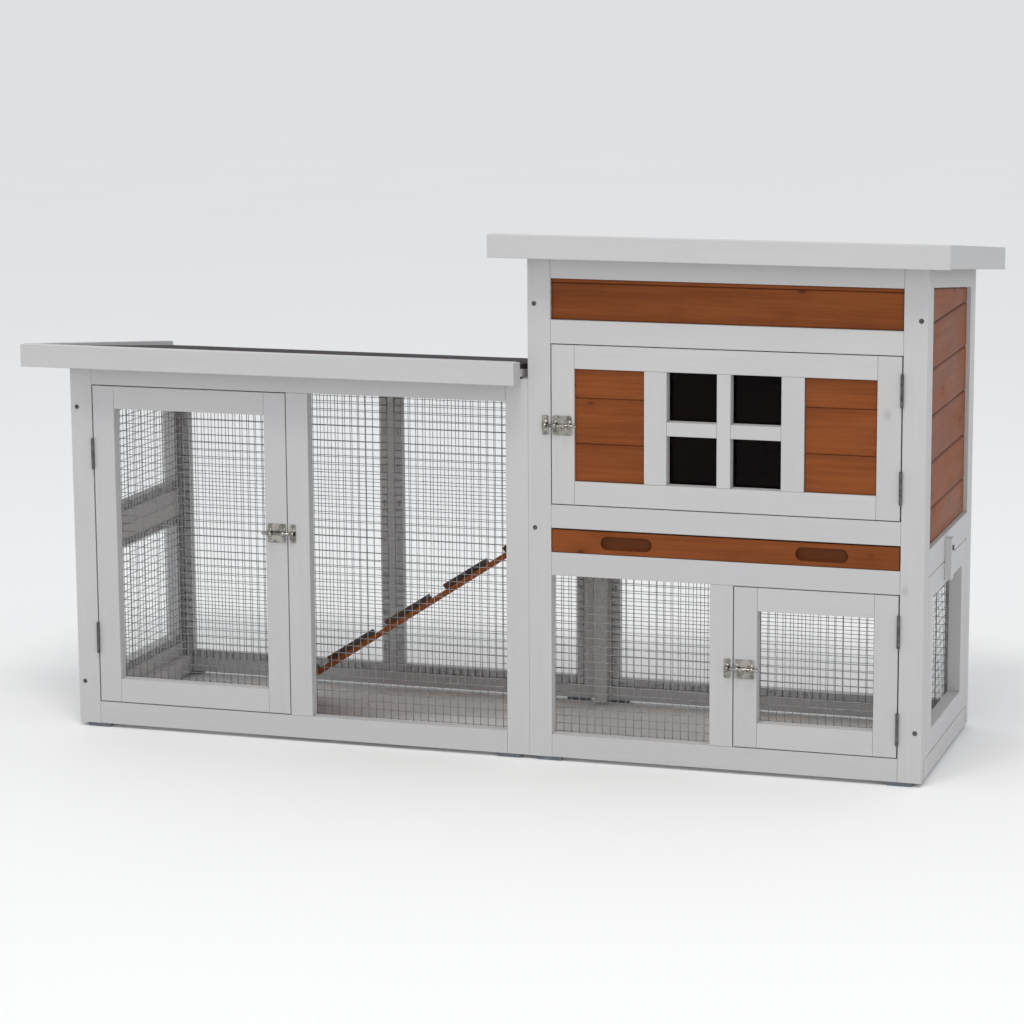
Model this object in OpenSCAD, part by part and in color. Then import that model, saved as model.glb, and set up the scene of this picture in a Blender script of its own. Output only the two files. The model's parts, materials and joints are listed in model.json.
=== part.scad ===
// Rabbit hutch: a two-storey house with a lower run on its left.
// Millimetres, +Z up. X runs along the front to the right, the front faces -Y, and Z = 0 is the ground.
// The modules work in hutch coordinates: x = 0 at the run's left face, y = 0 at the front face of the
// frames, z = 0 at the underside of the frames. place() moves them to the part's own origin, which is
// the middle of the bounding box, on the ground.

/* [Overall] */
// outside length of the run frame
run_len = 763; // [500:1:1200]
// outside length of the house frame
house_len = 613; // [450:1:900]
// outside depth of both frames
depth = 400; // [300:1:700]
// height of the run's front frame
run_h = 589; // [400:1:800]
// height of the house's front frame
house_h = 780; // [600:1:1000]
// height of the feet
foot_h = 6; // [3:1:15]

/* [Timber] */
// width of the frame sticks
stick_w = 36; // [25:1:50]
// thickness of the frame sticks
stick_t = 20; // [15:1:30]
// visible width of the side frames' posts
post_w = 20; // [15:1:40]
// gap where two sticks of a frame meet
joint_gap = 0.2; // [0.1:0.05:0.5]
// height of the battens under the side frames
base_h = 30; // [20:1:45]
// thickness of the tongue and groove planks
plank_t = 10; // [6:1:16]
// cover width of one plank
plank_w = 70; // [40:1:100]
// how far the planks sit behind the frame's face
plank_recess = 6; // [0:0.5:9]
// gap between two planks
plank_gap = 0.4; // [0.2:0.1:1]

/* [Run front] */
// width of the run door's opening
run_door_open = 331; // [250:1:450]

/* [House front] */
// top of the lower storey's openings
low_top = 287; // [200:1:350]
// bottom of the tray's opening
tray_z0 = 323; // [240:1:400]
// top of the tray's opening
tray_z1 = 361; // [280:1:440]
// bottom of the upper door's opening
upper_z0 = 397; // [300:1:480]
// top of the upper door's opening
upper_z1 = 645; // [500:1:720]
// bottom of the board under the roof
board_z0 = 681; // [600:1:740]
// top of the board under the roof
board_z1 = 744; // [640:1:770]
// left side of the lower post, from the house's left face
low_post_x = 286.5; // [200:0.5:400]

/* [Doors] */
// gap round the doors
door_gap = 1.5; // [1:0.1:3]
// gap on the hinge side
hinge_gap = 2; // [1.5:0.1:3]
// width of the doors' bottom rails
door_bottom_w = 38; // [30:1:50]
// width of the plank panels in the upper door
door_panel_w = 109.5; // [80:0.5:150]
// width of the mullions beside the window
mullion_w = 35; // [25:1:45]
// width of the window's glazing bars
bar_w = 21; // [12:1:30]
// thickness of the window pane
pane_t = 2; // [1:0.5:4]

/* [Wire mesh] */
// distance from wire to wire
mesh_pitch = 12.7; // [10:0.1:30]
// thickness of a wire
wire_d = 1.2; // [0.8:0.1:2]
// how far the mesh laps over the frame
mesh_lap = 12; // [6:1:16]
// gap between the two layers of wires
layer_gap = 0.05; // [0.02:0.01:0.2]

/* [Roofs] */
// slope of the run's roof, in degrees
run_slope = 7.3; // [3:0.1:15]
// slope of the run roof's side fascia, in degrees
run_fascia_slope = 6.9; // [3:0.1:15]
// slope of the house's roof and its side fascias, in degrees
house_slope = 6.2; // [3:0.1:15]
// height of the battens under the roof boards
batten_h = 12.5; // [8:0.5:25]
// width of the battens
batten_w = 18; // [12:1:30]
// thickness of the roof boards
roof_t = 6; // [4:1:18]
// thickness of the roofing felt
felt_t = 1.5; // [1:0.5:4]
// height of the fascias
fascia_h = 35; // [25:1:60]
// thickness of the fascias
fascia_t = 18; // [10:1:25]
// thickness of the strip behind each front fascia
strip_t = 15; // [8:1:25]
// how far the strip stays below the fascia's top
strip_drop = 3; // [0:0.5:10]
// how far the run roof's fascias reach above the run's front frame
run_fascia_rise = 29.5; // [25:0.5:50]
// how far the house roof's fascias reach above the house's front frame
house_fascia_rise = 32; // [25:0.5:50]
// how far the roofs stand out in front
roof_front = 40; // [20:1:80]
// how far the run roof stands out on the left
run_roof_left = 66; // [20:1:100]
// how far the run roof stands out behind
run_roof_back = 122; // [20:1:200]
// gap between the run roof and the house
run_roof_gap = 10; // [4:1:20]
// how far the house roof stands out on the left
house_roof_left = 51; // [20:1:100]
// how far the house roof stands out on the right
house_roof_right = 37.5; // [20:0.5:100]
// how far the house roof stands out behind
house_roof_back = 50; // [20:1:120]

/* [Ramp] */
// width of the ramp
ramp_w = 180; // [120:1:240]
// thickness of the ramp's plank
ramp_t = 9; // [6:0.5:16]
// slope of the ramp, in degrees
ramp_slope = 33.3; // [25:0.1:45]
// height where the ramp's underside meets the house
ramp_top = 333; // [250:1:400]
// number of cleats
cleats = 5; // [3:1:9]
// distance from cleat to cleat along the ramp
cleat_pitch = 119; // [60:1:150]

/* [Tray] */
// thickness of the tray's base
tray_base_t = 5; // [3:0.5:10]
// thickness of the tray's rim
tray_rim_t = 12; // [6:1:20]
// length of a finger slot
slot_len = 80; // [60:1:120]
// height of a finger slot
slot_h = 20; // [14:1:28]
// depth of a finger slot
slot_depth = 7; // [4:0.5:14]
// distance between the middles of the finger slots
slot_spread = 303; // [200:1:400]

/* [Hardware] */
// length of a butt hinge
hinge_len = 46; // [30:1:70]
// outer radius of a hinge barrel
barrel_r = 2.4; // [2:0.1:5]
// radius of a hinge pin
pin_r = 1.2; // [0.8:0.1:2.5]
// radial running clearance of the hinge pins
pin_clear = 0.05; // [0.02:0.01:0.1]
// thickness of a hinge leaf
leaf_t = 0.8; // [0.6:0.1:1.5]
// width of a latch plate along the bolt
latch_len = 30; // [24:1:50]
// height of a latch plate
latch_h = 30; // [20:1:40]
// radius of the sliding bolts
bolt_r = 2.5; // [2:0.1:4]
// how far a bolt moves to lock
bolt_travel = 10; // [6:1:14]
// length of the side hatch's turn button
button_len = 64; // [45:1:90]

/* [Hidden] */
$fn = 48;
house_x = run_len;
total_len = run_len + house_len;
gap = joint_gap;
side_y0 = stick_t + gap;
side_y1 = depth - stick_t - gap;
side_len = side_y1 - side_y0;
run_tan = tan(run_slope);
house_tan = tan(house_slope);
roof_gap = 0.3;
run_rear_h = run_h - (depth - stick_t) * run_tan;
house_rear_h = house_h - (depth - stick_t) * house_tan;
run_roof_x0 = -run_roof_left;
run_roof_x1 = run_len - run_roof_gap;
run_roof_y1 = depth + run_roof_back;
house_roof_x0 = house_x - house_roof_left;
house_roof_x1 = total_len + house_roof_right;
house_roof_y1 = depth + house_roof_back;
mid_x = (run_roof_x0 + house_roof_x1) / 2;
mid_y = (run_roof_y1 - roof_front) / 2;
// run front
run_post_x = stick_w + run_door_open;
run_win_x0 = run_post_x + stick_w;
run_win_x1 = run_len - stick_w - gap / 2;
run_open_z1 = run_h - stick_w;
rdoor_x0 = stick_w + hinge_gap;
rdoor_x1 = run_post_x - door_gap;
rdoor_z0 = stick_w + door_gap;
rdoor_z1 = run_open_z1 - door_gap;
// run rear, centre stile
rear_post_x = 385;
// house front
hx0 = house_x + gap / 2;
in_x0 = house_x + stick_w;
in_x1 = total_len - stick_w;
lpost_x0 = house_x + low_post_x;
lpost_x1 = lpost_x0 + stick_w;
udoor_x0 = in_x0 + door_gap;
udoor_x1 = in_x1 - hinge_gap;
udoor_z0 = upper_z0 + door_gap;
udoor_z1 = upper_z1 - door_gap;
upan_z0 = udoor_z0 + stick_w;
upan_z1 = udoor_z1 - stick_w;
upan_x0 = udoor_x0 + stick_w;
upan_x1 = udoor_x1 - stick_w;
win_x0 = upan_x0 + door_panel_w + mullion_w;
win_x1 = upan_x1 - door_panel_w - mullion_w;
pane_lap = 8;
ldoor_x0 = lpost_x1 + door_gap;
ldoor_x1 = in_x1 - hinge_gap;
ldoor_z0 = stick_w + door_gap;
ldoor_z1 = low_top - door_gap;
// hinge axes stand in front of the frames' face
hinge_y = -(barrel_r + 0.3);
hinge_bore_r = pin_r + pin_clear;
rdoor_hinge_x = stick_w + hinge_gap / 2;
right_hinge_x = in_x1 - hinge_gap / 2;
rdoor_hinge_z = [142, 442];
udoor_hinge_z = [448, 593];
ldoor_hinge_z = [82, 231];
hinge_leaf_w = 16;
// latches: a latch's own x axis points the way the bolt locks, and x = 0 is the plate's back edge
latch_inset = 2;
rlatch = [rdoor_x1 - latch_inset - latch_len, 329];
ulatch = [udoor_x0 + latch_inset + latch_len, 520];
llatch = [ldoor_x0 + latch_inset + latch_len, 159];
plate_t = 1.2;
bolt_y = -5.5;
guide_w = 5;
guide_h = 12;
guide_out = -9.4;
keeper_x = latch_len + 7;
keeper_w = 10;
keeper_loop_x = keeper_x + 2;
keeper_loop_w = 6;
bolt_tip = keeper_loop_x - 0.5;
bolt_len = 47;
knob_x = 9.5;
knob_r = 2.2;
knob_out = -19;
// side frames and hatch
side_mid_z0 = 309;
side_mid_z1 = 350;
side_split_z = 298;
hatch_gap = 1.5;
hatch_y0 = side_y0 + post_w + hatch_gap;
hatch_y1 = side_y1 - post_w - hatch_gap;
hatch_z0 = base_h + hatch_gap;
hatch_z1 = side_mid_z0 - hatch_gap;
button_w = 20;
button_t = 10;
button_y = 178;
button_pivot_z = 328;
button_top_z = 343;
button_gap = 0.3;
// lowest plank of the side walls, cut narrower than the rest
side_plank_h0 = 54.5;
// entrance hole in the house's left wall, at the head of the ramp
hole_y0 = (depth - ramp_w) / 2;
hole_z1 = side_mid_z1 + gap + side_plank_h0 + 2 * plank_w;
// room left for a mesh behind a front or rear frame
mesh_room = 4.5;
// upper floor
floor_t = 8;
floor_clear = 0.5;
bearer = 20;
// tray
tray_side_clear = 4;
tray_lift = 1;
tray_len = 350;
tray_rim_h = 24;
tray_x0 = in_x0 + tray_side_clear;
tray_w = in_x1 - in_x0 - 2 * tray_side_clear;
tray_mid_x = (in_x0 + in_x1) / 2;
tray_slot_z = (tray_z0 + tray_z1) / 2 - 1;
// frame screws: [x, z] on the front and rear stiles
screw_in = 10.4;
front_screws = [
    [screw_in, 68], [screw_in, 516],
    [house_x + screw_in, 360], [house_x + screw_in, 705],
    [total_len - screw_in, 77], [total_len - screw_in, 697]];
rear_screws = [
    [screw_in, 68], [screw_in, 480],
    [house_x + screw_in, 360], [house_x + screw_in, 670],
    [total_len - screw_in, 77], [total_len - screw_in, 670]];
screw_head_r = 3.6;
screw_head_h = 2.4;
screw_sink = 3;
screw_socket_r = 1.8;
screw_r = 2;
screw_len = 36;
screw_clear = 0.1;
// feet
foot_len = 38;
foot_w = 18;
foot_x = [33, run_len - 34, house_x + 32, total_len - 33];

white = [0.80, 0.80, 0.79];
stain = [0.60, 0.33, 0.18];
stain_dark = [0.50, 0.28, 0.16];
bare = [0.80, 0.70, 0.55];
felt = [0.24, 0.19, 0.21];
steel = [0.62, 0.62, 0.64];
chrome = [0.82, 0.82, 0.84];
plastic = [0.32, 0.34, 0.37];
clear = [0.55, 0.62, 0.66, 0.45];

// Moves hutch coordinates to the part's origin.
module place() {
    translate([-mid_x, -mid_y, foot_h]) children();
}

// ---------- building blocks ----------

// An upright stick from z0 to z1.
module upright(x0, x1, y0, z0, z1) {
    translate([x0, y0, z0]) cube([x1 - x0, stick_t, z1 - z0]);
}

// A rail between two uprights, cut short by the joint gap at both ends.
module rail(x0, x1, y0, z0, z1) {
    translate([x0 + gap, y0, z0]) cube([x1 - x0 - 2 * gap, stick_t, z1 - z0]);
}

// A door frame: two stiles with the rails between them.
module door_frame(x0, x1, z0, z1, bottom_w) {
    upright(x0, x0 + stick_w, 0, z0, z1);
    upright(x1 - stick_w, x1, 0, z0, z1);
    rail(x0 + stick_w, x1 - stick_w, 0, z0, z0 + bottom_w);
    rail(x0 + stick_w, x1 - stick_w, 0, z1 - stick_w, z1);
}

// The holes for the front or rear screws: a sunk head and a long shank.
module screw_holes(list, y_face, dir) {
    for (s = list) translate([s[0], y_face, s[1]]) rotate([-90 * dir, 0, 0]) {
        translate([0, 0, -1]) cylinder(r = screw_head_r + 2 * screw_clear, h = screw_sink + 1);
        cylinder(r = screw_r + screw_clear, h = screw_len + 2);
    }
}

module screw(s, y_face, dir) {
    translate([s[0], y_face, s[1]]) rotate([-90 * dir, 0, 0]) difference() {
        union() {
            translate([0, 0, screw_sink - screw_head_h]) cylinder(r = screw_head_r, h = screw_head_h);
            translate([0, 0, screw_sink - 0.5]) cylinder(r = screw_r, h = screw_len - screw_sink);
        }
        translate([0, 0, -1]) cylinder(r = screw_socket_r, h = 2.6, $fn = 6);
    }
}

// Keeps what lies under a roof that falls by drop per millimetre from height top_h.
module under_roof(top_h, drop, x0, x1) {
    intersection() {
        children();
        translate([x1, 0, 0]) rotate([90, 0, -90]) linear_extrude(x1 - x0)
            mirror([1, 0]) polygon([
                [0, -1], [depth, -1],
                [depth, top_h - (depth - stick_t) * drop], [0, top_h + stick_t * drop]]);
    }
}

// A sloping top rail of a side frame, between the posts.
module side_top_rail(x0, top_h, drop) {
    y0 = side_y0 + post_w + gap;
    y1 = side_y1 - post_w - gap;
    z0 = top_h - (y0 - stick_t) * drop;
    z1 = top_h - (y1 - stick_t) * drop;
    translate([x0 + stick_t, 0, 0]) rotate([90, 0, -90]) linear_extrude(stick_t)
        mirror([1, 0]) polygon([[y0, z0 - stick_w], [y1, z1 - stick_w], [y1, z1], [y0, z0]]);
}

// A post of a side frame, cut to the slope.
module side_post(x0, y0, z0, top_h, drop) {
    under_roof(top_h, drop, x0, x0 + stick_t)
        translate([x0, y0, z0]) cube([stick_t, post_w, top_h + 20 - z0]);
}

// A level rail of a side frame, between the posts.
module side_rail(x0, z0, z1) {
    y0 = side_y0 + post_w + gap;
    translate([x0, y0, z0]) cube([stick_t, side_y1 - post_w - gap - y0, z1 - z0]);
}

// Horizontal planks across the front or rear: x0 to x1, from z0 up to z1, first cut plank of height h0.
module planks_xz(x0, x1, y0, z0, z1, h0) {
    for (k = [0 : ceil((z1 - z0 - h0) / plank_w)]) {
        low = k == 0 ? z0 : z0 + h0 + (k - 1) * plank_w;
        high = min(z1, z0 + h0 + k * plank_w);
        if (high - low > plank_gap) translate([x0, y0, low + plank_gap / 2])
            cube([x1 - x0, plank_t, high - low - plank_gap]);
    }
}

// Horizontal planks along a side wall of the house, cut to the roof's slope under the top rail.
module planks_yz(x0, z0, h0) {
    y0 = side_y0 + post_w + gap;
    y1 = side_y1 - post_w - gap;
    high_z = house_h - stick_w - (y0 - stick_t) * house_tan;
    low_z = house_h - stick_w - (y1 - stick_t) * house_tan;
    intersection() {
        for (k = [0 : ceil((high_z - z0 - h0) / plank_w)]) {
            low = k == 0 ? z0 : z0 + h0 + (k - 1) * plank_w;
            high = z0 + h0 + k * plank_w;
            translate([x0, y0, low + plank_gap / 2]) cube([plank_t, y1 - y0, high - low - plank_gap]);
        }
        translate([x0 + plank_t + 1, 0, 0]) rotate([90, 0, -90]) linear_extrude(plank_t + 2)
            mirror([1, 0]) polygon([[y0, z0], [y1, z0], [y1, low_z - gap], [y0, high_z - gap]]);
    }
}

// The two layers of a welded mesh as flat outlines: w by h, with the top edge falling by drop.
module mesh_uprights(w, h, drop) {
    n = ceil(w / mesh_pitch);
    p = (w - wire_d) / n;
    difference() {
        polygon([[0, 0], [w, 0], [w, h - drop], [0, h]]);
        for (i = [0 : n - 1]) {
            a = wire_d + i * p;
            b = (i + 1) * p;
            polygon([[a, wire_d], [b, wire_d],
                [b, h - wire_d - drop * b / w], [a, h - wire_d - drop * a / w]]);
        }
    }
}

module mesh_levels(w, h, drop) {
    n = ceil(h / mesh_pitch);
    p = (h - wire_d) / n;
    difference() {
        polygon([[0, 0], [w, 0], [w, h - drop], [0, h]]);
        intersection() {
            for (i = [0 : n - 1]) translate([wire_d, wire_d + i * p]) square([w - 2 * wire_d, p - wire_d]);
            polygon([[wire_d, wire_d], [w - wire_d, wire_d],
                [w - wire_d, h - wire_d - drop], [wire_d, h - wire_d]]);
        }
    }
}

// A mesh against the inner face of a front frame (dir 1) or a rear frame (dir -1).
module mesh_xz(x0, x1, z0, z1, y_face, dir) {
    w = x1 - x0;
    h = z1 - z0;
    y_up = dir > 0 ? y_face + layer_gap : y_face - layer_gap - wire_d;
    y_level = dir > 0 ? y_up + wire_d + layer_gap : y_up - wire_d - layer_gap;
    translate([x0, y_up + wire_d, z0]) rotate([90, 0, 0]) linear_extrude(wire_d) mesh_uprights(w, h, 0);
    translate([x0, y_level + wire_d, z0]) rotate([90, 0, 0]) linear_extrude(wire_d) mesh_levels(w, h, 0);
}

// A mesh against the inner face of a side frame. dir 1 stands to the right of x_face, -1 to the left.
module mesh_yz(y0, y1, z0, z1, x_face, dir, drop) {
    w = y1 - y0;
    h = z1 - z0;
    x_up = dir > 0 ? x_face + layer_gap : x_face - layer_gap - wire_d;
    x_level = dir > 0 ? x_up + wire_d + layer_gap : x_up - wire_d - layer_gap;
    translate([x_up, y0, z0]) rotate([90, 0, 90]) linear_extrude(wire_d) mesh_uprights(w, h, drop);
    translate([x_level, y0, z0]) rotate([90, 0, 90]) linear_extrude(wire_d) mesh_levels(w, h, drop);
}

// ---------- hinges and latches ----------

// One hinge leaf at the origin of its barrel axis, lying in the gap behind it (+Y).
// side 1 lies on the +X side of the axis, -1 on the -X side. outer leaves carry the end knuckles.
module hinge_leaf(side, outer) {
    knuckle = hinge_len / 3;
    clear_z = 0.2;
    zs = outer ? [-hinge_len / 2, hinge_len / 2 - knuckle] : [-knuckle / 2];
    difference() {
        union() {
            leaf_x = side > 0 ? 0.15 : -0.15 - leaf_t;
            translate([leaf_x, -hinge_y + 0.3, -hinge_len / 2])
                cube([leaf_t, hinge_leaf_w, hinge_len]);
            for (z = zs) {
                translate([0, 0, z + clear_z / 2]) cylinder(r = barrel_r, h = knuckle - clear_z);
                translate([leaf_x, 0, z + clear_z / 2]) cube([leaf_t, -hinge_y + 1, knuckle - clear_z]);
            }
        }
        translate([0, 0, -hinge_len]) cylinder(r = hinge_bore_r, h = 2 * hinge_len);
    }
}

module hinge_pin() {
    translate([0, 0, -hinge_len / 2 - 0.6]) cylinder(r = pin_r, h = hinge_len + 1.2);
    for (z = [-hinge_len / 2 - 1.8, hinge_len / 2 + 0.6]) translate([0, 0, z]) cylinder(r = 2.4, h = 1.2);
}

module at_hinges(x, list) {
    for (z = list) translate([x, hinge_y, z]) children();
}

// Places a latch: at = [x of the plate's back edge, z of the bolt], dir = the way the bolt locks.
module at_latch(at, dir) {
    translate([at[0], 0, at[1]]) mirror([dir > 0 ? 0 : 1, 0, 0]) children();
}

module guide(x, w, hole_r) {
    translate([x, 0, 0]) difference() {
        translate([0, guide_out, -guide_h / 2]) cube([w, -guide_out - plate_t / 2, guide_h]);
        translate([-1, bolt_y, 0]) rotate([0, 90, 0]) cylinder(r = hole_r, h = w + 2);
    }
}

module latch_plate() {
    difference() {
        translate([0, -plate_t, -latch_h / 2]) cube([latch_len, plate_t, latch_h]);
        for (x = [4, latch_len - 4], z = [-11, 11])
            translate([x, 1, z]) rotate([90, 0, 0]) cylinder(r = 1.4, h = plate_t + 2);
    }
    guide(1, guide_w, bolt_r + 0.1);
    guide(latch_len - 1 - guide_w, guide_w, bolt_r + 0.1);
}

module latch_bolt() {
    translate([bolt_tip - bolt_len, bolt_y, 0]) rotate([0, 90, 0]) cylinder(r = bolt_r, h = bolt_len);
    translate([knob_x, bolt_y, 0]) rotate([90, 0, 0]) cylinder(r = knob_r, h = bolt_y - knob_out - 3);
    translate([knob_x, knob_out + 3.2, 0]) sphere(r = 3.2);
}

module latch_keeper() {
    difference() {
        translate([keeper_x, -plate_t, -latch_h / 2]) cube([keeper_w, plate_t, latch_h]);
        for (z = [-11, 11])
            translate([keeper_x + keeper_w / 2, 1, z]) rotate([90, 0, 0]) cylinder(r = 1.4, h = plate_t + 2);
    }
    guide(keeper_loop_x, keeper_loop_w, bolt_r + 0.5);
}

// ---------- run ----------

module run_front_frame() color(white) place() difference() {
    union() {
        upright(0, stick_w, 0, 0, run_h);
        upright(run_win_x1, run_len - gap / 2, 0, 0, run_h);
        rail(stick_w, run_win_x1, 0, 0, stick_w);
        rail(stick_w, run_win_x1, 0, run_open_z1, run_h);
        upright(run_post_x, run_win_x0, 0, stick_w + gap, run_open_z1 - gap);
    }
    screw_holes([front_screws[0], front_screws[1]], 0, 1);
}

module run_rear_frame() color(white) place() difference() {
    union() {
        y0 = depth - stick_t;
        upright(0, stick_w, y0, 0, run_rear_h);
        upright(run_win_x1, run_len - gap / 2, y0, 0, run_rear_h);
        rail(stick_w, run_win_x1, y0, 0, stick_w);
        rail(stick_w, run_win_x1, y0, run_rear_h - stick_w, run_rear_h);
        upright(rear_post_x, rear_post_x + stick_w, y0, stick_w + gap, run_rear_h - stick_w - gap);
    }
    screw_holes([rear_screws[0], rear_screws[1]], depth, -1);
}

module run_left_frame() color(white) place() difference() {
    union() {
        for (y = [side_y0, side_y1 - post_w]) side_post(0, y, base_h + gap, run_h, run_tan);
        side_rail(0, base_h + gap, base_h + stick_w);
        side_rail(0, side_split_z - stick_w, side_split_z - gap);
        side_rail(0, side_split_z + gap, side_split_z + stick_w);
        side_top_rail(0, run_h, run_tan);
    }
    screw_holes([front_screws[0], front_screws[1]], 0, 1);
    screw_holes([rear_screws[0], rear_screws[1]], depth, -1);
}

// The battens under the outer side frames, stopped short of the meshes on the front and rear frames.
module side_base_battens() color(white) place()
    for (x = [0, total_len - stick_w]) translate([x, stick_t + mesh_room, 0])
        cube([stick_w, depth - 2 * stick_t - 2 * mesh_room, base_h]);

module run_front_mesh() color(steel) place()
    mesh_xz(run_win_x0 - mesh_lap, run_win_x1 + mesh_lap, stick_w - mesh_lap, run_open_z1 + mesh_lap,
        stick_t, 1);

module run_rear_mesh() color(steel) place() {
    top = run_rear_h - stick_w + mesh_lap;
    y_face = depth - stick_t;
    mesh_xz(stick_w - mesh_lap, rear_post_x + mesh_lap, stick_w - mesh_lap, top, y_face, -1);
    mesh_xz(rear_post_x + stick_w - mesh_lap, run_win_x1 + mesh_lap, stick_w - mesh_lap, top, y_face, -1);
}

module run_left_mesh() color(steel) place() {
    y0 = side_y0 + post_w - mesh_lap;
    y1 = side_y1 - post_w + mesh_lap;
    top = run_h - stick_w + mesh_lap - (y0 - stick_t) * run_tan;
    mesh_yz(y0, y1, base_h + stick_w - mesh_lap, side_split_z - stick_w + mesh_lap, stick_t, 1, 0);
    mesh_yz(y0, y1, side_split_z + stick_w - mesh_lap, top, stick_t, 1, (y1 - y0) * run_tan);
}

module run_door_frame() color(white) place()
    door_frame(rdoor_x0, rdoor_x1, rdoor_z0, rdoor_z1, door_bottom_w);

module run_door_mesh() color(steel) place()
    mesh_xz(rdoor_x0 + stick_w - mesh_lap, rdoor_x1 - stick_w + mesh_lap,
        rdoor_z0 + door_bottom_w - mesh_lap, rdoor_z1 - stick_w + mesh_lap, stick_t, 1);

// ---------- house ----------

module house_front_frame() color(white) place() difference() {
    union() {
        upright(hx0, in_x0, 0, 0, house_h);
        upright(in_x1, total_len, 0, 0, house_h);
        rail(in_x0, in_x1, 0, 0, stick_w);
        rail(in_x0, in_x1, 0, low_top, tray_z0);
        rail(in_x0, in_x1, 0, tray_z1, upper_z0);
        rail(in_x0, in_x1, 0, upper_z1, board_z0);
        rail(in_x0, in_x1, 0, board_z1, house_h);
        upright(lpost_x0, lpost_x1, 0, stick_w + gap, low_top - gap);
    }
    screw_holes([for (i = [2 : 5]) front_screws[i]], 0, 1);
}

module house_rear_frame() color(white) place() difference() {
    union() {
        y0 = depth - stick_t;
        upright(hx0, in_x0, y0, 0, house_rear_h);
        upright(in_x1, total_len, y0, 0, house_rear_h);
        rail(in_x0, in_x1, y0, 0, stick_w);
        rail(in_x0, in_x1, y0, low_top, tray_z0);
        rail(in_x0, in_x1, y0, house_rear_h - stick_w, house_rear_h);
    }
    screw_holes([for (i = [2 : 5]) rear_screws[i]], depth, -1);
}

module house_left_frame() color(white) place() difference() {
    union() {
        for (y = [side_y0, side_y1 - post_w]) side_post(hx0, y, 0, house_h, house_tan);
        side_rail(hx0, side_mid_z0, side_mid_z1);
        side_top_rail(hx0, house_h, house_tan);
    }
    screw_holes([for (i = [2 : 3]) front_screws[i]], 0, 1);
    screw_holes([for (i = [2 : 3]) rear_screws[i]], depth, -1);
}

module house_right_frame() color(white) place() difference() {
    x0 = total_len - stick_t;
    union() {
        for (y = [side_y0, side_y1 - post_w]) side_post(x0, y, base_h + gap, house_h, house_tan);
        side_rail(x0, side_mid_z0, side_mid_z1);
        side_top_rail(x0, house_h, house_tan);
    }
    screw_holes([for (i = [4 : 5]) front_screws[i]], 0, 1);
    screw_holes([for (i = [4 : 5]) rear_screws[i]], depth, -1);
    translate([total_len - 18, button_y, button_pivot_z]) rotate([0, 90, 0])
        cylinder(r = screw_r + screw_clear, h = 20);
}

module front_board() color(stain) place()
    planks_xz(in_x0 + gap, in_x1 - gap, plank_recess, board_z0 + gap, board_z1 - gap, 56);

module rear_planks() color(stain) place()
    planks_xz(in_x0 + gap, in_x1 - gap, depth - plank_recess - plank_t,
        tray_z0 + gap, house_rear_h - stick_w - gap, plank_w);

module left_planks() color(stain) place() difference() {
    planks_yz(hx0 + plank_recess, side_mid_z1 + gap, side_plank_h0);
    translate([hx0 - 1, hole_y0, side_mid_z1 - 1]) cube([stick_t + 2, ramp_w, hole_z1 - side_mid_z1 + 1]);
}

module right_planks() color(stain) place()
    planks_yz(total_len - plank_recess - plank_t, side_mid_z1 + gap, side_plank_h0);

module upper_floor() color(bare) place()
    translate([house_x + stick_t + floor_clear, side_y0 + floor_clear, tray_z0 - floor_t])
        cube([house_len - 2 * stick_t - 2 * floor_clear, side_len - 2 * floor_clear, floor_t]);

module floor_bearers() color(bare) place() {
    z0 = tray_z0 - floor_t - gap - bearer;
    for (x = [house_x + stick_t + floor_clear, total_len - stick_t - floor_clear - bearer])
        translate([x, stick_t + mesh_room, z0]) cube([bearer, depth - 2 * stick_t - 2 * mesh_room, bearer]);
}

// A blind finger slot with round ends, cut from the front.
module finger_slot() {
    reach = (slot_len - slot_h) / 2;
    translate([0, slot_depth, 0]) rotate([90, 0, 0]) {
        for (x = [-reach, reach]) translate([x, 0, 0]) cylinder(d = slot_h, h = slot_depth + 1);
        translate([-reach, -slot_h / 2, 0]) cube([2 * reach, slot_h, slot_depth + 1]);
    }
}

module tray_front() color(stain) place() difference() {
    translate([in_x0 + door_gap, 0, tray_z0 + tray_lift - gap])
        cube([in_x1 - in_x0 - 2 * door_gap, stick_t - gap, tray_z1 - tray_z0 - 3 * tray_lift]);
    for (dx = [-slot_spread / 2, slot_spread / 2]) translate([tray_mid_x + dx, 0, tray_slot_z]) finger_slot();
}

module tray_base() color(bare) place()
    translate([tray_x0, stick_t, tray_z0 + tray_lift]) cube([tray_w, tray_len, tray_base_t]);

module tray_rim() color(bare) place() {
    z0 = tray_z0 + tray_lift + tray_base_t + gap;
    for (x = [tray_x0, tray_x0 + tray_w - tray_rim_t])
        translate([x, stick_t, z0]) cube([tray_rim_t, tray_len, tray_rim_h]);
    translate([tray_x0 + tray_rim_t + gap, stick_t + tray_len - tray_rim_t, z0])
        cube([tray_w - 2 * tray_rim_t - 2 * gap, tray_rim_t, tray_rim_h]);
}

module house_front_mesh() color(steel) place()
    mesh_xz(in_x0 - mesh_lap, lpost_x0 + mesh_lap, stick_w - mesh_lap, low_top + mesh_lap, stick_t, 1);

module house_rear_mesh() color(steel) place()
    mesh_xz(in_x0 - mesh_lap, in_x1 + mesh_lap, stick_w - mesh_lap, low_top + mesh_lap, depth - stick_t, -1);

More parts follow.
